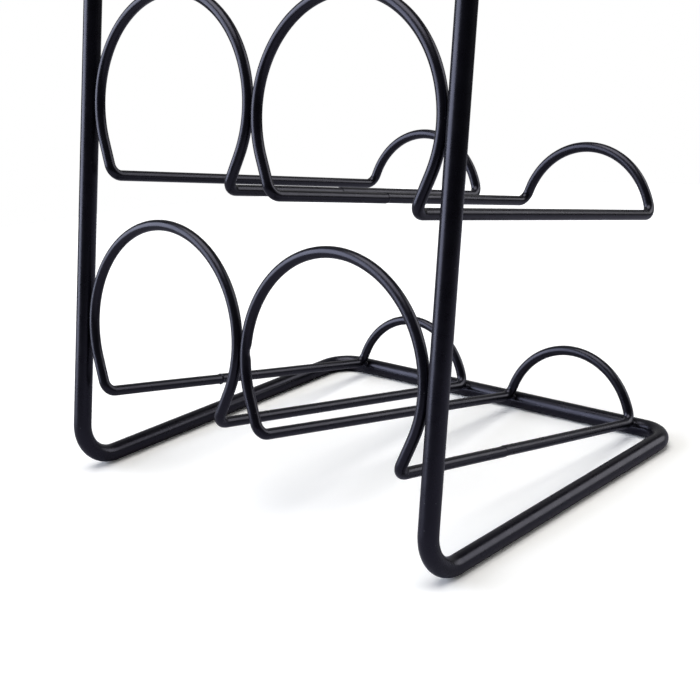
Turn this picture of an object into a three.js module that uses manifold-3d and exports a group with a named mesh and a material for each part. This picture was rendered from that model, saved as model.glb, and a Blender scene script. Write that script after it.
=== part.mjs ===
// A table-top wine rack for six bottles, welded from round steel rod and wire and coated satin black.
// One bent rod makes the base, both uprights and the top bar. Three tiers of two wire holders are
// welded between the uprights. Each holder is one closed loop: a ring at the front that the neck of
// the bottle passes through, two straight rails, and a low arch at the back that stops its base.
//
// +X is to the right, +Y to the back and +Z up. The origin is at the middle of the object's
// footprint, on the surface that it stands on. Lengths are in millimetres and angles in degrees.

import * as THREE from "three";
import { mergeVertices } from "three/addons/utils/BufferGeometryUtils.js";
import Module from "manifold-3d";

// Driving dimensions of the frame.
const ROD_RADIUS = 4;
const FRAME_WIDTH = 200; // between the centrelines of the uprights
const UPRIGHT_LEAN = 9.7; // the uprights lean back from vertical
const UPRIGHT_LENGTH = 328; // from the base to the top bar, along the lean
const FRONT_BEND_RADIUS = 16;
const BACK_BEND_RADIUS = 13;
const TOP_BEND_RADIUS = 24;

// Driving dimensions of the tiers and of one holder.
const WIRE_RADIUS = 2.3;
const LOWEST_RING_HEIGHT = 69; // up the lean, from the base's centreline to a ring's centre
const TIER_PITCH = 95.5;
const RING_SWEEP_BELOW = 23; // how far the ring's arc runs on below its widest points
const RING_LEG_LENGTH = 15.5; // straight run from the arc's end to the corner under it
const RING_CORNER_RADIUS = 5;
const RAIL_LENGTH = 171.5; // from the ring to the back arch, down the rails' fall
const RAIL_TOE_IN = 2; // how much nearer to the holder's middle each rail is at its back end
const RAIL_DROP = 1.6; // the rails fall towards the back, measured from square to the ring
const BACK_ARCH_START = 19.5; // how far above its widest points the back arch's arc starts
const BACK_LEG_LENGTH = 5.5; // straight run from the back arch's arc to the corner under it
const BACK_CORNER_RADIUS = 5;
const RAIL_WELD_PLACE = 0.4; // where the wire's ends meet, as a share of the rail from the front

// Welds, and the clearance that separate pieces keep where they are welded together.
const GAP = 0.3;
const BUTT_WELD_LENGTH = 2.4;
const BUTT_WELD_SWELL = 0.35; // how far a butt weld stands proud of the wire or the rod
const UPRIGHT_BEAD = new THREE.Vector3(2.6, 1.9, 6); // half sizes, before the bars are cut out
const RING_BEAD = new THREE.Vector3(2.4, 1.8, 5);
const BASE_BEAD = new THREE.Vector3(4.6, 3.2, 3.2);
const BEAD_SET_BACK = 2; // the beads lie behind the rings, out of sight from the front

// How finely the round shapes are faceted.
const ROD_SIDES = 12;
const WIRE_SIDES = 8;
const RING_STEPS = 30;
const ARCH_STEPS = 16;
const WIRE_BEND_STEPS = 5;
const ROD_BEND_STEPS = 8;
const BUTT_WELD_SIDES = 16;
const BEAD_SIDES = 12;
const BEAD_RINGS = 8;

// Which rail of each holder carries its butt weld: -1 for the left rail, 1 for the right.
const TIERS = [
  { name: "lower", weldSides: { left: -1, right: 1 } },
  { name: "middle", weldSides: { left: 1, right: -1 } },
  { name: "top", weldSides: { left: -1, right: 1 } },
];
const SIDES = { left: -1, right: 1 };

const lean = THREE.MathUtils.degToRad(UPRIGHT_LEAN);
const uprightX = FRAME_WIDTH / 2;

// The two rings of a tier fill the space between the uprights, and touch each other and the uprights.
const ringOutermostX = uprightX - ROD_RADIUS - GAP - WIRE_RADIUS;
const ringInnermostX = GAP / 2 + WIRE_RADIUS;
const ringRadius = (ringOutermostX - ringInnermostX) / 2;
const ringX = (ringOutermostX + ringInnermostX) / 2;

const wasm = await Module();
wasm.setup();

const coating = new THREE.MeshStandardMaterial({
  color: 0x17161d,
  roughness: 0.42,
  metalness: 0.1,
});

// ---------------------------------------------------------------------------------------------
// Centrelines
// ---------------------------------------------------------------------------------------------

// A bent centreline, given as stations: points with the direction of the line there. Neighbouring
// stations are joined by straight pieces, so a straight run needs none of its own.
class Centreline extends THREE.Curve {
  constructor(stations) {
    super();
    this.stations = stations;
  }

  get steps() {
    return this.stations.length - 1;
  }

  getPoint(t, target = new THREE.Vector3()) {
    const place = t * this.steps;
    const before = Math.min(Math.floor(place), this.steps - 1);
    const { point: from } = this.stations[before];
    const { point: to } = this.stations[before + 1];
    return target.lerpVectors(from, to, place - before);
  }

  getTangent(t, target = new THREE.Vector3()) {
    return target.copy(this.stations[Math.round(t * this.steps)].direction);
  }

  // Keeps the stations where they are, instead of spacing them evenly along the line.
  getUtoTmapping(u) {
    return u;
  }
}

// Stations round an arc about a centre. The arc starts at angle `from` and ends at `to`, both
// measured from the axis `across` towards the axis `up`.
function arc(centre, across, up, radius, from, to, steps) {
  const turn = Math.sign(to - from);
  return Array.from({ length: steps + 1 }, (_, i) => {
    const angle = from + ((to - from) * i) / steps;
    const point = centre
      .clone()
      .addScaledVector(across, radius * Math.cos(angle))
      .addScaledVector(up, radius * Math.sin(angle));
    const direction = new THREE.Vector3()
      .addScaledVector(across, -turn * Math.sin(angle))
      .addScaledVector(up, turn * Math.cos(angle));
    return { point, direction };
  });
}

// Stations round the bend that replaces a sharp corner between two straight runs.
function bend(before, corner, after, radius, steps) {
  const incoming = corner.clone().sub(before).normalize();
  const outgoing = after.clone().sub(corner).normalize();
  const angle = incoming.angleTo(outgoing);
  const inward = outgoing
    .clone()
    .addScaledVector(incoming, -Math.cos(angle))
    .normalize();
  const start = corner
    .clone()
    .addScaledVector(incoming, -radius * Math.tan(angle / 2));
  const centre = start.clone().addScaledVector(inward, radius);
  return arc(centre, inward.negate(), incoming, radius, 0, angle, steps);
}

// A straight run's own end stations, at a point with a known direction.
function station(point, direction) {
  return { point, direction: direction.clone().normalize() };
}

// ---------------------------------------------------------------------------------------------
// Solids
// ---------------------------------------------------------------------------------------------

// How far the corners between a bar's facets stand from its centreline.
function cornerRadiusOf(radius, sides) {
  return radius / Math.cos(Math.PI / sides);
}

// A bar of round section, as a prism of flat facets that all touch the circle. The first facet
// faces the direction `facing`, measured round the section.
function bar(centreline, radius, sides, facing) {
  const cornerRadius = cornerRadiusOf(radius, sides);
  const corners = Array.from({ length: sides }, (_, i) => {
    const angle = facing + ((i + 0.5) * 2 * Math.PI) / sides;
    return new THREE.Vector2(
      cornerRadius * Math.cos(angle),
      cornerRadius * Math.sin(angle),
    );
  });
  return new THREE.ExtrudeGeometry(new THREE.Shape(corners), {
    steps: centreline.steps,
    extrudePath: centreline,
  });
}

// A closed geometry as a solid that can be cut.
function toSolid(geometry) {
  const bare = geometry.index ? geometry.toNonIndexed() : geometry.clone();
  bare.deleteAttribute("normal");
  bare.deleteAttribute("uv");
  const merged = mergeVertices(bare, 1e-4);
  return new wasm.Manifold(
    new wasm.Mesh({
      numProp: 3,
      vertProperties: merged.attributes.position.array,
      triVerts: new Uint32Array(merged.index.array),
    }),
  );
}

function toGeometry(solid) {
  const { vertProperties, triVerts } = solid.getMesh();
  return new THREE.BufferGeometry()
    .setAttribute("position", new THREE.BufferAttribute(vertProperties, 3))
    .setIndex(new THREE.BufferAttribute(triVerts, 1));
}

// A bead of weld: an ellipsoid with the pieces that it joins, and their clearance, cut out of it.
function bead(centre, size, cutters) {
  const lump = new THREE.SphereGeometry(1, BEAD_SIDES, BEAD_RINGS)
    .scale(size.x, size.y, size.z)
    .translate(centre.x, centre.y, centre.z);
  const cut = cutters.reduce(
    (solid, cutter) => solid.subtract(cutter),
    toSolid(lump),
  );
  return toGeometry(cut);
}

// A butt weld: the swollen disc of metal where two ends meet. Its axis is local Y.
function buttWeld(radius) {
  const half = BUTT_WELD_LENGTH / 2;
  const crown = radius + BUTT_WELD_SWELL;
  const profile = [
    [0, -half],
    [radius, -half],
    [crown, -half / 2],
    [crown, half / 2],
    [radius, half],
    [0, half],
  ];
  return new THREE.LatheGeometry(
    profile.map(([x, y]) => new THREE.Vector2(x, y)),
    BUTT_WELD_SIDES,
  );
}

function piece(name, geometry) {
  const mesh = new THREE.Mesh(geometry, coating.clone());
  mesh.name = name;
  return mesh;
}

// ---------------------------------------------------------------------------------------------
// One holder, with the ring's centre at the origin and the ring in the plane of X and Z
// ---------------------------------------------------------------------------------------------

const sweepBelow = THREE.MathUtils.degToRad(RING_SWEEP_BELOW);
const archStart = THREE.MathUtils.degToRad(BACK_ARCH_START);
const railDrop = THREE.MathUtils.degToRad(RAIL_DROP);

// The corner under the ring, on the right.
const ringCorner = new THREE.Vector3(
  ringRadius * Math.cos(sweepBelow) - RING_LEG_LENGTH * Math.sin(sweepBelow),
  0,
  -ringRadius * Math.sin(sweepBelow) - RING_LEG_LENGTH * Math.cos(sweepBelow),
);

// The corner where the right rail meets the back arch.
const archCorner = new THREE.Vector3(
  ringCorner.x - RAIL_TOE_IN,
  RAIL_LENGTH * Math.cos(railDrop),
  ringCorner.z - RAIL_LENGTH * Math.sin(railDrop),
);
const archRadius =
  (archCorner.x - BACK_LEG_LENGTH * Math.sin(archStart)) / Math.cos(archStart);
const archCentre = new THREE.Vector3(
  0,
  archCorner.y,
  archCorner.z +
    BACK_LEG_LENGTH * Math.cos(archStart) -
    archRadius * Math.sin(archStart),
);

// The same place on the holder's left (-1) or right (1).
function onSide(place, side) {
  return new THREE.Vector3(place.x * side, place.y, place.z);
}

// The holder's wire from one end to the other. It starts behind the butt weld on the rail of side
// -1 (left) or 1 (right), runs forward, round the ring, back along the other rail and round the arch.
function holderCentreline(weldSide) {
  const across = new THREE.Vector3(weldSide, 0, 0);
  const up = new THREE.Vector3(0, 0, 1);
  const origin = new THREE.Vector3();
  const ringNear = onSide(ringCorner, weldSide);
  const ringFar = onSide(ringCorner, -weldSide);
  const archNear = onSide(archCorner, weldSide);
  const archFar = onSide(archCorner, -weldSide);
  const ring = arc(
    origin,
    across,
    up,
    ringRadius,
    -sweepBelow,
    Math.PI + sweepBelow,
    RING_STEPS,
  );
  const arch = arc(
    archCentre,
    across,
    up,
    archRadius,
    Math.PI - archStart,
    archStart,
    ARCH_STEPS,
  );
  const weldPoint = ringNear.clone().lerp(archNear, RAIL_WELD_PLACE);
  const forward = ringNear.clone().sub(archNear).normalize();
  const endGap = BUTT_WELD_LENGTH / 2 + GAP;
  const start = weldPoint.clone().addScaledVector(forward, endGap);
  const end = weldPoint.clone().addScaledVector(forward, -endGap);
  return new Centreline([
    station(start, forward),
    ...bend(start, ringNear, ring[0].point, RING_CORNER_RADIUS, WIRE_BEND_STEPS),
    ...ring,
    ...bend(ring.at(-1).point, ringFar, archFar, RING_CORNER_RADIUS, WIRE_BEND_STEPS),
    ...bend(ringFar, archFar, arch[0].point, BACK_CORNER_RADIUS, WIRE_BEND_STEPS),
    ...arch,
    ...bend(arch.at(-1).point, archNear, end, BACK_CORNER_RADIUS, WIRE_BEND_STEPS),
    station(end, forward),
  ]);
}

// The section's first facet faces straight out from the ring.
function holderWire(weldSide, clearance = 0) {
  return bar(
    holderCentreline(weldSide),
    WIRE_RADIUS + clearance,
    WIRE_SIDES,
    -weldSide * sweepBelow,
  );
}

function railWeld(weldSide) {
  const ringNear = onSide(ringCorner, weldSide);
  const archNear = onSide(archCorner, weldSide);
  const backward = archNear.clone().sub(ringNear).normalize();
  const turn = new THREE.Quaternion().setFromUnitVectors(
    new THREE.Vector3(0, 1, 0),
    backward,
  );
  const place = ringNear.lerp(archNear, RAIL_WELD_PLACE);
  return buttWeld(WIRE_RADIUS)
    .applyQuaternion(turn)
    .translate(place.x, place.y, place.z);
}

// ---------------------------------------------------------------------------------------------
// The frame, with the front corners of the base's centreline on the axis X
// ---------------------------------------------------------------------------------------------

// The base is as deep as it has to be for the back corners of the lowest holders to lie against
// its back rod. The centre of their bend lies above and in front of the rod's centreline.
function backRodY() {
  const corner = archCorner.clone();
  corner.z += LOWEST_RING_HEIGHT;
  const railBack = new THREE.Vector3(0, Math.cos(railDrop), -Math.sin(railDrop));
  const archUp = new THREE.Vector3(0, 0, 1);
  const turn = railBack.angleTo(archUp);
  const bendCentre = corner
    .addScaledVector(railBack, -BACK_CORNER_RADIUS * Math.tan(turn / 2))
    .addScaledVector(archUp, BACK_CORNER_RADIUS)
    .applyAxisAngle(new THREE.Vector3(1, 0, 0), -lean);
  const reach =
    BACK_CORNER_RADIUS +
    cornerRadiusOf(WIRE_RADIUS, WIRE_SIDES) +
    GAP +
    cornerRadiusOf(ROD_RADIUS, ROD_SIDES);
  return bendCentre.y + Math.sqrt(reach ** 2 - bendCentre.z ** 2);
}

const baseDepth = backRodY();

function frameCentreline() {
  const uprightTop = new THREE.Vector3(0, 0, UPRIGHT_LENGTH).applyAxisAngle(
    new THREE.Vector3(1, 0, 0),
    -lean,
  );
  const at = (x, y, z) => new THREE.Vector3(x, y, z);
  const endGap = BUTT_WELD_LENGTH / 2 + GAP;
  const start = at(endGap, uprightTop.y, uprightTop.z);
  const end = at(-endGap, uprightTop.y, uprightTop.z);
  const corners = [
    [at(uprightX, uprightTop.y, uprightTop.z), TOP_BEND_RADIUS],
    [at(uprightX, 0, 0), FRONT_BEND_RADIUS],
    [at(uprightX, baseDepth, 0), BACK_BEND_RADIUS],
    [at(-uprightX, baseDepth, 0), BACK_BEND_RADIUS],
    [at(-uprightX, 0, 0), FRONT_BEND_RADIUS],
    [at(-uprightX, uprightTop.y, uprightTop.z), TOP_BEND_RADIUS],
  ];
  const route = [start, ...corners.map(([corner]) => corner), end];
  const rightward = new THREE.Vector3(1, 0, 0);
  return new Centreline([
    station(start, rightward),
    ...corners.flatMap(([corner, radius], i) =>
      bend(route[i], corner, route[i + 2], radius, ROD_BEND_STEPS),
    ),
    station(end, rightward),
  ]);
}

// The section is turned by the lean, so that the base stands on a flat facet.
function frameRod(clearance = 0) {
  return bar(frameCentreline(), ROD_RADIUS + clearance, ROD_SIDES, -lean);
}

// ---------------------------------------------------------------------------------------------
// The assembly
// ---------------------------------------------------------------------------------------------

const rack = new THREE.Group();

// Everything that leans with the uprights hangs from this group.
const leaning = new THREE.Group();
leaning.rotation.x = -lean;
rack.add(leaning);

const topWeld = piece("frame_butt_weld", buttWeld(ROD_RADIUS).rotateZ(Math.PI / 2));
topWeld.position.z = UPRIGHT_LENGTH;
rack.add(piece("frame_rod", frameRod()));
leaning.add(topWeld);

const frameCutter = toSolid(frameRod(GAP).rotateX(lean));

TIERS.forEach(({ name: tier, weldSides }, level) => {
  const height = LOWEST_RING_HEIGHT + level * TIER_PITCH;
  const cutters = {};
  for (const [sideName, side] of Object.entries(SIDES)) {
    const weldSide = weldSides[sideName];
    const holder = new THREE.Group();
    holder.position.set(side * ringX, 0, height);
    holder.add(
      piece(`holder_${tier}_${sideName}`, holderWire(weldSide)),
      piece(`rail_butt_weld_${tier}_${sideName}`, railWeld(weldSide)),
    );
    leaning.add(holder);
    cutters[sideName] = toSolid(
      holderWire(weldSide, GAP).translate(side * ringX, 0, height),
    );
    const contactX = side * (ringOutermostX + WIRE_RADIUS + GAP / 2);
    leaning.add(
      piece(
        `upright_weld_${tier}_${sideName}`,
        bead(new THREE.Vector3(contactX, BEAD_SET_BACK, height), UPRIGHT_BEAD, [
          frameCutter,
          cutters[sideName],
        ]),
      ),
    );
  }
  leaning.add(
    piece(
      `ring_weld_${tier}`,
      bead(new THREE.Vector3(0, BEAD_SET_BACK, height), RING_BEAD, [
        cutters.left,
        cutters.right,
      ]),
    ),
  );
  if (level > 0) return;

  // The lowest holders are also welded to the back rod, at both corners of their arches.
  const rod = new THREE.Vector3(0, baseDepth, 0).applyAxisAngle(
    new THREE.Vector3(1, 0, 0),
    lean,
  );
  for (const [sideName, side] of Object.entries(SIDES)) {
    for (const [rail, railSide] of Object.entries({ inner: -side, outer: side })) {
      const contact = new THREE.Vector3(
        side * ringX + railSide * archCorner.x,
        (rod.y + archCorner.y) / 2,
        (rod.z + archCorner.z + height) / 2,
      );
      leaning.add(
        piece(
          `base_weld_${sideName}_${rail}`,
          bead(contact, BASE_BEAD, [frameCutter, cutters[sideName]]),
        ),
      );
    }
  }
});

// Puts the origin at the middle of the footprint, on the surface that the rack stands on.
rack.updateMatrixWorld(true);
const box = new THREE.Box3().setFromObject(rack, true);
rack.position.set(
  -(box.min.x + box.max.x) / 2,
  -(box.min.y + box.max.y) / 2,
  -box.min.z,
);

export default rack;
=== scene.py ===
import math

import bpy
from mathutils import Matrix, Vector, noise


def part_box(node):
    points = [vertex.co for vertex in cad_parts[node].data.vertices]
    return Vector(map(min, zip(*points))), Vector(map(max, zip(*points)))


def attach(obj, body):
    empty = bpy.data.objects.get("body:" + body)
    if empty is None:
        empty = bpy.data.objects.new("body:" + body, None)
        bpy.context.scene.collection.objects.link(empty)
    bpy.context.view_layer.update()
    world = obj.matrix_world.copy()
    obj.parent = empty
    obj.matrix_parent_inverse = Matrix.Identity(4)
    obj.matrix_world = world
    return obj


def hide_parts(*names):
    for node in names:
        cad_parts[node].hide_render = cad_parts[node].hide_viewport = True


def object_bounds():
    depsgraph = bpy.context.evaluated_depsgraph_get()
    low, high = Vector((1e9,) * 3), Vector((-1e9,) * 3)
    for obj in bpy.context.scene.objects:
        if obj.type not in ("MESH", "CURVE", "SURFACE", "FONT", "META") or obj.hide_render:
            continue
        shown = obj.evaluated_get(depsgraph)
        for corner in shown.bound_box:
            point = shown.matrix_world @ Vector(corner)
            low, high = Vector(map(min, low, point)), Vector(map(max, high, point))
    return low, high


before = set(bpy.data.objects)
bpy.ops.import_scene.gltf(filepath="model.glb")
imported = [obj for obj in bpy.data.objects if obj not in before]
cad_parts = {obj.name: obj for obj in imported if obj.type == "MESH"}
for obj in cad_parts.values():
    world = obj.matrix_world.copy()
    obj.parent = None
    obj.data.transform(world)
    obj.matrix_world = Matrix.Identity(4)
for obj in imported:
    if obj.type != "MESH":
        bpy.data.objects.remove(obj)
cad_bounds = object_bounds()

MM = 0.001
X_AXIS = Vector((1, 0, 0))
Z_AXIS = Vector((0, 0, 1))
CENTRE = Vector((0, 0, 0))

# The frame, with the same values as its CAD solid.
ROD_RADIUS = 4 * MM
FRAME_WIDTH = 200 * MM
UPRIGHT_LEAN = 9.7
UPRIGHT_LENGTH = 328 * MM
FRONT_BEND_RADIUS = 16 * MM
BACK_BEND_RADIUS = 13 * MM
TOP_BEND_RADIUS = 24 * MM

# The tiers and one holder, with the same values as their CAD solids.
WIRE_RADIUS = 2.3 * MM
LOWEST_RING_HEIGHT = 69 * MM
TIER_PITCH = 95.5 * MM
RING_SWEEP_BELOW = 23
RING_LEG_LENGTH = 15.5 * MM
RING_CORNER_RADIUS = 5 * MM
RAIL_LENGTH = 171.5 * MM
RAIL_TOE_IN = 2 * MM
RAIL_DROP = 1.6
BACK_ARCH_START = 19.5
BACK_LEG_LENGTH = 5.5 * MM
BACK_CORNER_RADIUS = 5 * MM
RAIL_WELD_PLACE = 0.4  # where the wire's ends meet, as a share of the rail from the front
CAD_GAP = 0.3 * MM

# Which rail of each holder carries its butt weld: -1 for the left rail, 1 for the right.
TIERS = [
    {"name": "lower", "weld_sides": {"left": -1, "right": 1}},
    {"name": "middle", "weld_sides": {"left": 1, "right": -1}},
    {"name": "top", "weld_sides": {"left": -1, "right": 1}},
]
SIDES = {"left": -1, "right": 1}

# How finely the bars are made.
ROD_SIDES = 32
WIRE_SIDES = 24
BEND_STEP = 0.9 * MM
RUN_STEP = 6 * MM
WELD_STEP = 0.3 * MM
WELD_REACH = 6 * MM  # the runs are finely divided this far from a butt weld

# The ends of a holder's wire don't meet quite true: each stands this far off, and runs back to its
# place over about this length.
WIRE_MISMATCH = 0.14 * MM
MISMATCH_REACH = 14 * MM

# The welding electrode left a dent inside one ring, opposite the weld to the ring beside it.
DENTED_HOLDER = "lower_right"
DENT_DEPTH = 0.85 * MM
DENT_REACH = 1.9 * MM
DENT_TURN = 30  # the side that it was pressed from, turned from the ring's inside to the back
DENT_LIMIT = 7 * MM  # nothing is pressed further from the middle of the dent than this

lean = math.radians(UPRIGHT_LEAN)
sweep_below = math.radians(RING_SWEEP_BELOW)
arch_start = math.radians(BACK_ARCH_START)
rail_drop = math.radians(RAIL_DROP)
upright_x = FRAME_WIDTH / 2
ring_outermost_x = upright_x - ROD_RADIUS - CAD_GAP - WIRE_RADIUS
ring_innermost_x = CAD_GAP / 2 + WIRE_RADIUS
ring_radius = (ring_outermost_x - ring_innermost_x) / 2
ring_x = (ring_outermost_x + ring_innermost_x) / 2


# ------------------------------------------------------------------------------------------------
# Where the frame stands
# ------------------------------------------------------------------------------------------------

def middle(node):
    low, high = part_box(node)
    return (low + high) / 2


# Points in the middle of the rack's width: on the top bar's centreline, from where the lean leads
# down to the line through the base's front corners, and on the centreline of the back rod, which
# lies at the back of the frame's own box.
leaning_turn = Matrix.Rotation(-lean, 3, "X")
top_bar = middle("frame_butt_weld")
front_line = top_bar - leaning_turn @ (UPRIGHT_LENGTH * Z_AXIS)
back_line = Vector((front_line.x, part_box("frame_rod")[1].y - ROD_RADIUS, front_line.z))


def leaning(point):
    """Where a point lies that is given in the uprights' plane, up from the base's front line."""
    return front_line + leaning_turn @ point


# ------------------------------------------------------------------------------------------------
# Centrelines
# ------------------------------------------------------------------------------------------------

def arc(centre, across, up, radius, start, end):
    """Points round an arc, at angles that run from the direction `across` towards `up`."""
    steps = max(2, math.ceil(abs(end - start) * radius / BEND_STEP))
    angles = [start + (end - start) * i / steps for i in range(steps + 1)]
    return [centre + radius * (math.cos(a) * across + math.sin(a) * up) for a in angles]


def bend(before, corner, after, radius):
    """Points round the bend that replaces a sharp corner."""
    incoming = (corner - before).normalized()
    outgoing = (after - corner).normalized()
    angle = incoming.angle(outgoing)
    inward = (outgoing - math.cos(angle) * incoming).normalized()
    start = corner - radius * math.tan(angle / 2) * incoming
    return arc(start + radius * inward, -inward, incoming, radius, 0, angle)


def divided(points, weld=None):
    """The points of a closed line, with its straight runs divided, and finely near a weld."""
    out = []
    for here, there in zip(points, points[1:] + points[:1]):
        out.append(here)
        length = (there - here).length
        place = 0
        while length > 2 * BEND_STEP:
            reached = here.lerp(there, place / length)
            near = weld is not None and (reached - weld).length < WELD_REACH
            place += WELD_STEP if near else min(RUN_STEP, length / 2)
            if place > length - WELD_STEP:
                break
            out.append(here.lerp(there, place / length))
    return out


ring_corner = Vector((
    ring_radius * math.cos(sweep_below) - RING_LEG_LENGTH * math.sin(sweep_below),
    0,
    -ring_radius * math.sin(sweep_below) - RING_LEG_LENGTH * math.cos(sweep_below),
))
arch_corner = ring_corner + Vector((
    -RAIL_TOE_IN,
    RAIL_LENGTH * math.cos(rail_drop),
    -RAIL_LENGTH * math.sin(rail_drop),
))
arch_radius = (arch_corner.x - BACK_LEG_LENGTH * math.sin(arch_start)) / math.cos(arch_start)
arch_centre = Vector((
    0,
    arch_corner.y,
    arch_corner.z + BACK_LEG_LENGTH * math.cos(arch_start) - arch_radius * math.sin(arch_start),
))


def on_side(place, side):
    """The same place on a holder's left (-1) or right (1)."""
    return Vector((place.x * side, place.y, place.z))


def rail_weld(weld_side):
    """Where the ends of a holder's wire meet, and the direction of the rail there, backwards."""
    ring_near = on_side(ring_corner, weld_side)
    arch_near = on_side(arch_corner, weld_side)
    return ring_near.lerp(arch_near, RAIL_WELD_PLACE), (arch_near - ring_near).normalized()


def mismatched(point, weld, backward):
    """A point of the wire moved up or down, more the nearer it is to the butt weld."""
    along = (point - weld).dot(backward)
    off_line = (point - weld - along * backward).length
    if off_line > WIRE_RADIUS:
        return point
    shift = WIRE_MISMATCH * math.exp(-abs(along) / MISMATCH_REACH)
    return point + math.copysign(shift, along) * Z_AXIS


def holder_points(weld_side):
    """A holder's centreline, from its butt weld forwards, round the ring, back and round the arch.
    The ring's centre is at the origin. The ends of the wire stand a little apart at the weld."""
    across = weld_side * X_AXIS
    ring_near = on_side(ring_corner, weld_side)
    arch_near = on_side(arch_corner, weld_side)
    ring_far = on_side(ring_corner, -weld_side)
    arch_far = on_side(arch_corner, -weld_side)
    weld, backward = rail_weld(weld_side)
    start = weld - WELD_STEP / 2 * backward
    end = weld + WELD_STEP / 2 * backward
    ring = arc(CENTRE, across, Z_AXIS, ring_radius, -sweep_below, math.pi + sweep_below)
    arch = arc(arch_centre, across, Z_AXIS, arch_radius, math.pi - arch_start, arch_start)
    line = divided([
        start,
        *bend(start, ring_near, ring[0], RING_CORNER_RADIUS),
        *ring,
        *bend(ring[-1], ring_far, arch_far, RING_CORNER_RADIUS),
        *bend(ring_far, arch_far, arch[0], BACK_CORNER_RADIUS),
        *arch,
        *bend(arch[-1], arch_near, end, BACK_CORNER_RADIUS),
        end,
    ], weld)
    return [mismatched(point, weld, backward) for point in line]


def frame_points():
    """The frame rod's centreline, from the middle of the top bar to the right and all round."""
    right = upright_x * X_AXIS
    corners = [
        (top_bar + right, TOP_BEND_RADIUS),
        (front_line + right, FRONT_BEND_RADIUS),
        (back_line + right, BACK_BEND_RADIUS),
        (back_line - right, BACK_BEND_RADIUS),
        (front_line - right, FRONT_BEND_RADIUS),
        (top_bar - right, TOP_BEND_RADIUS),
    ]
    route = [top_bar, *(corner for corner, _ in corners), top_bar]
    line = [top_bar]
    for i, (corner, radius) in enumerate(corners):
        line.extend(bend(route[i], corner, route[i + 2], radius))
    return divided(line)


# ------------------------------------------------------------------------------------------------
# Meshes
# ------------------------------------------------------------------------------------------------

def directions_of(points, closed):
    """The direction of a line at each of its points."""
    last = len(points) - 1
    out = []
    for i in range(len(points)):
        before = points[i - 1] if i > 0 or closed else points[0]
        after = points[(i + 1) % len(points)] if i < last or closed else points[last]
        out.append((after - before).normalized())
    return out


def carried_normals(directions, first, closed):
    """A normal for each direction, carried along without twist. On a closed line what is left over
    at the end is spread over the whole line, so that the last section meets the first."""
    normals = [first]
    for before, after in zip(directions, directions[1:]):
        normals.append(before.rotation_difference(after) @ normals[-1])
    if not closed:
        return normals
    arrived = directions[-1].rotation_difference(directions[0]) @ normals[-1]
    side = directions[0].cross(first)
    left_over = math.atan2(arrived.dot(side), arrived.dot(first))
    return [
        Matrix.Rotation(-left_over * i / len(normals), 3, directions[i]) @ normal
        for i, normal in enumerate(normals)
    ]


def swept(name, points, outline, sides, first_normal=Z_AXIS, closed=False):
    """A piece swept along points. outline(i, angle) is the section's radius at point i."""
    directions = directions_of(points, closed)
    first = first_normal - first_normal.dot(directions[0]) * directions[0]
    normals = carried_normals(directions, first.normalized(), closed)
    vertices = []
    for i, (point, direction, normal) in enumerate(zip(points, directions, normals)):
        side = direction.cross(normal)
        for j in range(sides):
            angle = 2 * math.pi * j / sides
            reach = outline(i, angle)
            vertices.append(point + reach * (math.cos(angle) * normal + math.sin(angle) * side))
    count = len(points)
    faces = [
        (
            i * sides + j,
            i * sides + (j + 1) % sides,
            (i + 1) % count * sides + (j + 1) % sides,
            (i + 1) % count * sides + j,
        )
        for i in range(count if closed else count - 1)
        for j in range(sides)
    ]
    if not closed:
        faces.append(tuple(range(sides))[::-1])
        faces.append(tuple(range((count - 1) * sides, count * sides)))
    mesh = bpy.data.meshes.new(name)
    mesh.from_pydata(vertices, [], faces)
    mesh.shade_smooth()
    mesh.update()
    piece = bpy.data.objects.new(name, mesh)
    bpy.context.scene.collection.objects.link(piece)
    return piece


# Butt welds: a narrow ridge that closes the gap between two ends, uneven round the bar.
RIDGE_HALF_LENGTH = 1.5 * MM
RIDGE_STEPS = 16
FRAME_RIDGE_HEIGHT = 0.16 * MM
WIRE_RIDGE_HEIGHT = 0.1 * MM
PROUD_RIDGE_HEIGHT = 0.36 * MM
PROUD_RIDGE_HOLDER = "lower_left"
RIDGE_STEEPNESS = 5.2  # how quickly a ridge falls off to its ends
RIDGE_CREST = 1.6  # how rounded its crest is, from 1 for sharp to 2 for round
RIDGE_UNEVENNESS = 0.6
RIDGE_LUMPS = 1.3  # how busy the unevenness is
RIDGE_VARIETY = 7 * MM  # ridges further apart than this are uneven in different ways
RIDGE_SINK = 0.12 * MM  # the ridge's ends lie this far inside the bar


def butt_ridge(name, centre, along, radius, height):
    """A piece round a bar where its ends were welded together."""
    places = [2 * i / RIDGE_STEPS - 1 for i in range(RIDGE_STEPS + 1)]
    points = [centre + place * RIDGE_HALF_LENGTH * along for place in places]

    def outline(i, angle):
        rise = math.exp(-RIDGE_STEEPNESS * abs(places[i]) ** RIDGE_CREST)
        spot = Vector((math.cos(angle), math.sin(angle), places[i])) * RIDGE_LUMPS
        uneven = 1 + RIDGE_UNEVENNESS * noise.noise(spot + centre / RIDGE_VARIETY)
        return radius - RIDGE_SINK + (height + RIDGE_SINK) * rise * uneven

    return swept(name, points, outline, WIRE_SIDES)


# Beads of weld in the groove between two bars.
BEAD_STEPS = 36
BEAD_SIDES = 20
BEAD_RIPPLE = 0.07
BEAD_LUMPINESS = 0.16
BEAD_LUMP_SIZE = 1.6 * MM
BEAD_TIP = 0.02  # how thick a bead's very ends are, as a share of its middle


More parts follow.
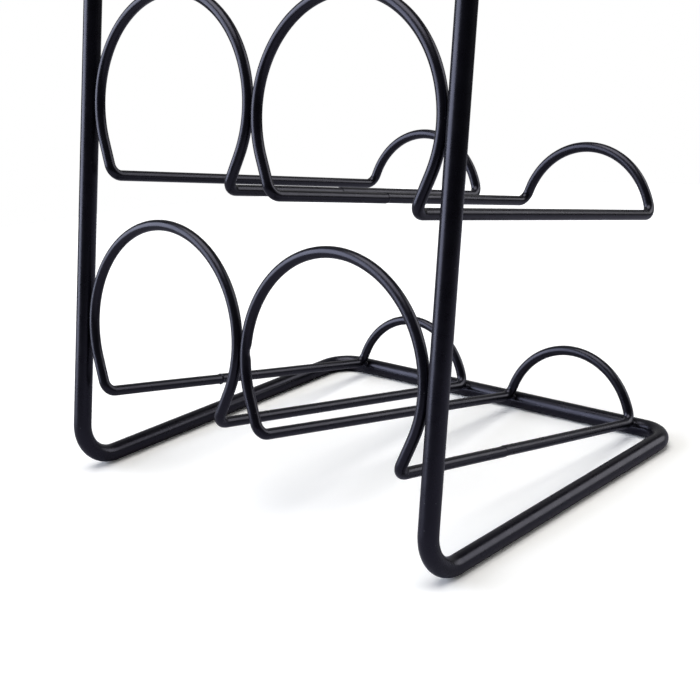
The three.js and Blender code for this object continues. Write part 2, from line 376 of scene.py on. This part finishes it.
def bead(name, centre, along, across, half_length, half_width, half_depth, ripples):
    """A rippled bead of weld. Its width lies along `across`, and its ends are rounded."""
    places = [math.sin(math.pi / 2 * (2 * i / BEAD_STEPS - 1)) for i in range(BEAD_STEPS + 1)]
    points = [centre + place * half_length * along for place in places]

    def outline(i, angle):
        ellipse = 1 / math.hypot(math.cos(angle) / half_width, math.sin(angle) / half_depth)
        taper = max(1 - places[i] ** 2, BEAD_TIP**2) ** 0.5
        spot = points[i] + ellipse * math.cos(angle) * across
        ripple = 1 + BEAD_RIPPLE * math.cos(math.pi * ripples * places[i])
        lump = 1 + BEAD_LUMPINESS * noise.noise(spot / BEAD_LUMP_SIZE)
        return ellipse * taper * ripple * lump

    return swept(name, points, outline, BEAD_SIDES, first_normal=across)


# ------------------------------------------------------------------------------------------------
# Finish
# ------------------------------------------------------------------------------------------------

# The colour sockets of a Mix node, by their places, because its sockets share their names.
MIX_FACTOR = 0
MIX_FIRST = 6
MIX_SECOND = 7
MIX_RESULT = 2

# The sockets of a Mix Shader node, which share their name too.
SHADER_FIRST = 1
SHADER_SECOND = 2

# The coat's blue-black sheen, and the dust on it.
COAT_IOR = 1.46
COAT_SHEEN = (0.82, 0.8, 1.0, 1)
DUST_COLOUR = (0.11, 0.11, 0.12, 1)


class Nodes:
    """A node tree, filled by short calls."""

    def __init__(self, tree):
        self.tree = tree
        self.tree.nodes.clear()

    def add(self, kind, **settings):
        """Adds a node. A setting is one of its properties, or else the value of its input."""
        node = self.tree.nodes.new("ShaderNode" + kind)
        for key, value in settings.items():
            if hasattr(node, key):
                setattr(node, key, value)
            else:
                node.inputs[key.replace("_", " ")].default_value = value
        return node

    def link(self, source, output, target, entry):
        """Links an output of one node to an input of another."""
        self.tree.links.new(source.outputs[output], target.inputs[entry])


def powder_coat(name, peel_height, grain_height, dark, light, roughness):
    """Satin powder coat: a slow drift of colour from dark to light, patches that are duller, an
    orange-peel skin, fine grain and stray dust. The noise scales are in cycles per metre."""
    material = bpy.data.materials.new(name)
    material.use_nodes = True
    nodes = Nodes(material.node_tree)
    place = nodes.add("TexCoord")
    shader = nodes.add("BsdfPrincipled", IOR=COAT_IOR, Specular_Tint=COAT_SHEEN)
    output = nodes.add("OutputMaterial")
    nodes.link(shader, "BSDF", output, "Surface")

    drift = nodes.add("TexNoise", Scale=28, Detail=3)
    tint = nodes.add("ValToRGB")
    tint.color_ramp.elements[0].position = 0.35
    tint.color_ramp.elements[0].color = (*dark, 1)
    tint.color_ramp.elements[1].position = 0.65
    tint.color_ramp.elements[1].color = (*light, 1)
    nodes.link(place, "Object", drift, "Vector")
    nodes.link(drift, "Fac", tint, "Fac")

    dust = nodes.add("TexVoronoi", Scale=210)
    speck = nodes.add("MapRange", From_Min=0.035, From_Max=0.055, To_Min=0.5, To_Max=0)
    dusty = nodes.add("Mix", data_type="RGBA")
    dusty.inputs[MIX_SECOND].default_value = DUST_COLOUR
    nodes.link(place, "Object", dust, "Vector")
    nodes.link(dust, "Distance", speck, "Value")
    nodes.link(speck, "Result", dusty, MIX_FACTOR)
    nodes.link(tint, "Color", dusty, MIX_FIRST)
    nodes.link(dusty, MIX_RESULT, shader, "Base Color")

    patches = nodes.add("TexNoise", Scale=160, Detail=4)
    gloss = nodes.add(
        "MapRange", From_Min=0.3, From_Max=0.7, To_Min=roughness[0], To_Max=roughness[1]
    )
    nodes.link(place, "Object", patches, "Vector")
    nodes.link(patches, "Fac", gloss, "Value")
    nodes.link(gloss, "Result", shader, "Roughness")

    peel = nodes.add("TexNoise", Scale=520, Detail=1.5)
    grain = nodes.add("TexNoise", Scale=2600, Detail=2)
    skin = nodes.add("Bump", Strength=1, Distance=peel_height)
    fine = nodes.add("Bump", Strength=1, Distance=grain_height)
    nodes.link(place, "Object", peel, "Vector")
    nodes.link(place, "Object", grain, "Vector")
    nodes.link(peel, "Fac", skin, "Height")
    nodes.link(grain, "Fac", fine, "Height")
    nodes.link(skin, "Normal", fine, "Normal")
    nodes.link(fine, "Normal", shader, "Normal")
    return material


bar_coat = powder_coat(
    "powder_coat_bars",
    peel_height=0.02 * MM,
    grain_height=0.003 * MM,
    dark=(0.0020, 0.0018, 0.0032),
    light=(0.0034, 0.0031, 0.0054),
    roughness=(0.25, 0.33),
)
weld_coat = powder_coat(
    "powder_coat_welds",
    peel_height=0.09 * MM,
    grain_height=0.012 * MM,
    dark=(0.0020, 0.0018, 0.0032),
    light=(0.0036, 0.0033, 0.0056),
    roughness=(0.32, 0.44),
)


def finished(piece, material, *nodes):
    """Paints a piece, ties it to the rack and lets it stand for its CAD nodes."""
    piece.data.materials.append(material)
    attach(piece, "root")
    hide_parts(*nodes)


# ------------------------------------------------------------------------------------------------
# The pieces
# ------------------------------------------------------------------------------------------------

def bar(name, points, radius, sides, node):
    """A closed bent bar of round section."""
    piece = swept(name, points, lambda i, angle: radius, sides, closed=True)
    finished(piece, bar_coat, node)
    return piece


def dent(piece, place, outward):
    """Presses a rounded hollow into a bar, at a place on its centreline and from the side that
    `outward` points to."""
    for vertex in piece.data.vertices:
        offset = vertex.co - place
        height = offset.dot(outward)
        distance = (offset - height * outward).length
        if height > 0 and offset.length < DENT_LIMIT:
            share = height / WIRE_RADIUS * math.exp(-((distance / DENT_REACH) ** 2))
            vertex.co -= share * DENT_DEPTH * outward


# The beads' sizes, and how far those beside a ring lie behind it.
UPRIGHT_BEAD = {
    "half_length": 6.2 * MM,
    "half_width": 1.7 * MM,
    "half_depth": 1.5 * MM,
    "ripples": 9,
}
RING_BEAD = {
    "half_length": 5.2 * MM,
    "half_width": 1.5 * MM,
    "half_depth": 1.3 * MM,
    "ripples": 7,
}
BASE_BEAD = {
    "half_length": 3.3 * MM,
    "half_width": 1.6 * MM,
    "half_depth": 1.6 * MM,
    "ripples": 3,
}
BEAD_SET_BACK = 0.9 * MM
upward = leaning_turn @ Z_AXIS


def make_frame():
    """The frame's rod, and the butt weld that closes it."""
    bar("frame", frame_points(), ROD_RADIUS, ROD_SIDES, "frame_rod")
    seam = butt_ridge("frame_seam", top_bar, X_AXIS, ROD_RADIUS, FRAME_RIDGE_HEIGHT)
    finished(seam, weld_coat, "frame_butt_weld")


def make_holder(holder, side, weld_side, height):
    """One holder, the butt weld in its wire and the weld between its ring and the upright."""
    place = Vector((side * ring_x, 0, height))
    line = [leaning(place + point) for point in holder_points(weld_side)]
    wire = bar(f"wire_{holder}", line, WIRE_RADIUS, WIRE_SIDES, f"holder_{holder}")
    if holder == DENTED_HOLDER:
        turn = Matrix.Rotation(side * math.radians(DENT_TURN), 3, "Z")
        dent(wire, leaning(place - side * ring_radius * X_AXIS), turn @ (side * X_AXIS))

    weld, backward = rail_weld(weld_side)
    rise = PROUD_RIDGE_HEIGHT if holder == PROUD_RIDGE_HOLDER else WIRE_RIDGE_HEIGHT
    middle_of_weld = leaning(place + weld)
    seam = butt_ridge(f"seam_{holder}", middle_of_weld, leaning_turn @ backward, WIRE_RADIUS, rise)
    finished(seam, weld_coat, f"rail_butt_weld_{holder}")

    touching_x = side * (upright_x - ROD_RADIUS - CAD_GAP / 2)
    contact = leaning(Vector((touching_x, BEAD_SET_BACK, height)))
    beside_upright = bead(f"upright_bead_{holder}", contact, upward, X_AXIS, **UPRIGHT_BEAD)
    finished(beside_upright, weld_coat, f"upright_weld_{holder}")


def make_tiers():
    """All the holders, tier by tier, and the welds between the two rings of each tier."""
    for level, tier in enumerate(TIERS):
        tier_name = tier["name"]
        height = LOWEST_RING_HEIGHT + level * TIER_PITCH
        for side_name, side in SIDES.items():
            make_holder(f"{tier_name}_{side_name}", side, tier["weld_sides"][side_name], height)

        contact = leaning(Vector((0, BEAD_SET_BACK, height)))
        between_rings = bead(f"ring_bead_{tier_name}", contact, upward, X_AXIS, **RING_BEAD)
        finished(between_rings, weld_coat, f"ring_weld_{tier_name}")


def make_base_welds():
    """The lowest holders are also welded to the back rod, at both corners of their arches."""
    for side_name, side in SIDES.items():
        place = Vector((side * ring_x, 0, LOWEST_RING_HEIGHT))
        for rail, rail_side in {"inner": -side, "outer": side}.items():
            corner = leaning(place + on_side(arch_corner, rail_side))
            beside = back_line + corner.x * X_AXIS
            contact = beside + ROD_RADIUS * (corner - beside).normalized()
            weld = bead(f"base_bead_{side_name}_{rail}", contact, X_AXIS, Z_AXIS, **BASE_BEAD)
            finished(weld, weld_coat, f"base_weld_{side_name}_{rail}")


make_frame()
make_tiers()
make_base_welds()


# ------------------------------------------------------------------------------------------------
# Floor, light and camera
# ------------------------------------------------------------------------------------------------

FLOOR_RADIUS = 620 * MM
FLOOR_SIDES = 96
FLOOR_DROP = 0.05 * MM  # the floor lies this far under the rack, so that their faces don't meet
FLOOR_SEEN = (1.1, 1.087, 1.055, 1)  # burns out to white where the rack throws no shadow
FLOOR_REFLECTED = (0.35, 0.345, 0.4, 1)
ROOM_COLOUR = (0.93, 0.95, 1, 1)
ROOM_STRENGTH = 0.045
LEFT_SOFTBOX_COLOUR = (0.8, 0.86, 1)

# The camera. Its lens and sensor are in millimetres, as Blender has them.
CAMERA_AZIMUTH = 42.51
CAMERA_ELEVATION = 17.68
CAMERA_ROLL = -3.24
CAMERA_DISTANCE = 622.9 * MM
CAMERA_LENS = 70.99
SENSOR_WIDTH = 36
CAMERA_CLIP_START = 10 * MM

# What it looks at: a place left of the middle, behind the base's front line and above the floor.
TARGET_X = -12.82 * MM
TARGET_BEHIND_FRONT = 90 * MM
TARGET_HEIGHT = 48.95 * MM


def compass(azimuth, elevation):
    """The direction from the rack to something at that azimuth and elevation."""
    a, e = math.radians(azimuth), math.radians(elevation)
    return Vector((math.sin(a) * math.cos(e), -math.cos(a) * math.cos(e), math.sin(e)))


def make_floor():
    """A pale floor. It looks brighter to the camera than it does from the rack."""
    angles = [2 * math.pi * i / FLOOR_SIDES for i in range(FLOOR_SIDES)]
    rim = [Vector((math.cos(a), math.sin(a), 0)) * FLOOR_RADIUS for a in angles]
    mesh = bpy.data.meshes.new("floor")
    mesh.from_pydata(rim, [], [tuple(range(FLOOR_SIDES))])
    floor = bpy.data.objects.new("floor", mesh)
    floor.location.z = cad_bounds[0].z - FLOOR_DROP
    bpy.context.scene.collection.objects.link(floor)
    material = bpy.data.materials.new("pale_floor")
    material.use_nodes = True
    nodes = Nodes(material.node_tree)
    seen = nodes.add("BsdfDiffuse", Color=FLOOR_SEEN)
    reflected = nodes.add("BsdfDiffuse", Color=FLOOR_REFLECTED)
    ray = nodes.add("LightPath")
    mix = nodes.add("MixShader")
    output = nodes.add("OutputMaterial")
    nodes.link(ray, "Is Camera Ray", mix, "Fac")
    nodes.link(reflected, "BSDF", mix, SHADER_FIRST)
    nodes.link(seen, "BSDF", mix, SHADER_SECOND)
    nodes.link(mix, "Shader", output, "Surface")
    mesh.materials.append(material)


def make_softbox(name, azimuth, elevation, spread, strength, colour=(1, 1, 1)):
    """A distant soft light, as wide as `spread` degrees, that lights the whole floor evenly."""
    light = bpy.data.lights.new(name, "SUN")
    light.energy = strength
    light.angle = math.radians(spread)
    light.color = colour
    lamp = bpy.data.objects.new(name, light)
    lamp.rotation_euler = compass(azimuth, elevation).to_track_quat("Z", "Y").to_euler()
    bpy.context.scene.collection.objects.link(lamp)


def make_world():
    """A white backdrop round a dim room."""
    world = bpy.data.worlds.new("studio")
    world.use_nodes = True
    nodes = Nodes(world.node_tree)
    backdrop = nodes.add("Background", Color=(1, 1, 1, 1), Strength=1)
    room = nodes.add("Background", Color=ROOM_COLOUR, Strength=ROOM_STRENGTH)
    ray = nodes.add("LightPath")
    mix = nodes.add("MixShader")
    output = nodes.add("OutputWorld")
    nodes.link(ray, "Is Camera Ray", mix, "Fac")
    nodes.link(room, "Background", mix, SHADER_FIRST)
    nodes.link(backdrop, "Background", mix, SHADER_SECOND)
    nodes.link(mix, "Shader", output, "Surface")
    bpy.context.scene.world = world


def make_camera():
    """A camera at the front right, a little above the rack and slightly rolled."""
    back = compass(CAMERA_AZIMUTH, CAMERA_ELEVATION)
    right = X_AXIS.copy()
    right.rotate(Matrix.Rotation(math.radians(CAMERA_AZIMUTH), 3, "Z"))
    right.rotate(Matrix.Rotation(math.radians(CAMERA_ROLL), 3, back))
    up = back.cross(right)
    target = Vector((TARGET_X, front_line.y + TARGET_BEHIND_FRONT, TARGET_HEIGHT))
    data = bpy.data.cameras.new("camera")
    data.lens = CAMERA_LENS
    data.sensor_width = SENSOR_WIDTH
    data.clip_start = CAMERA_CLIP_START
    camera = bpy.data.objects.new("camera", data)
    turn = Matrix((right, up, back)).transposed().to_4x4()
    camera.matrix_world = Matrix.Translation(target + CAMERA_DISTANCE * back) @ turn
    bpy.context.scene.collection.objects.link(camera)
    bpy.context.scene.camera = camera


make_floor()
make_softbox(
    "left_softbox",
    azimuth=-50,
    elevation=18,
    spread=52,
    strength=3.1,
    colour=LEFT_SOFTBOX_COLOUR,
)
make_softbox("back_softbox", azimuth=146, elevation=25, spread=40, strength=0.88)
make_softbox("overhead_softbox", azimuth=-20, elevation=80, spread=52, strength=2.4)
make_softbox("backdrop_glow", azimuth=222, elevation=6, spread=80, strength=0.3)
make_world()
make_camera()
bpy.context.scene.view_settings.view_transform = "Standard"
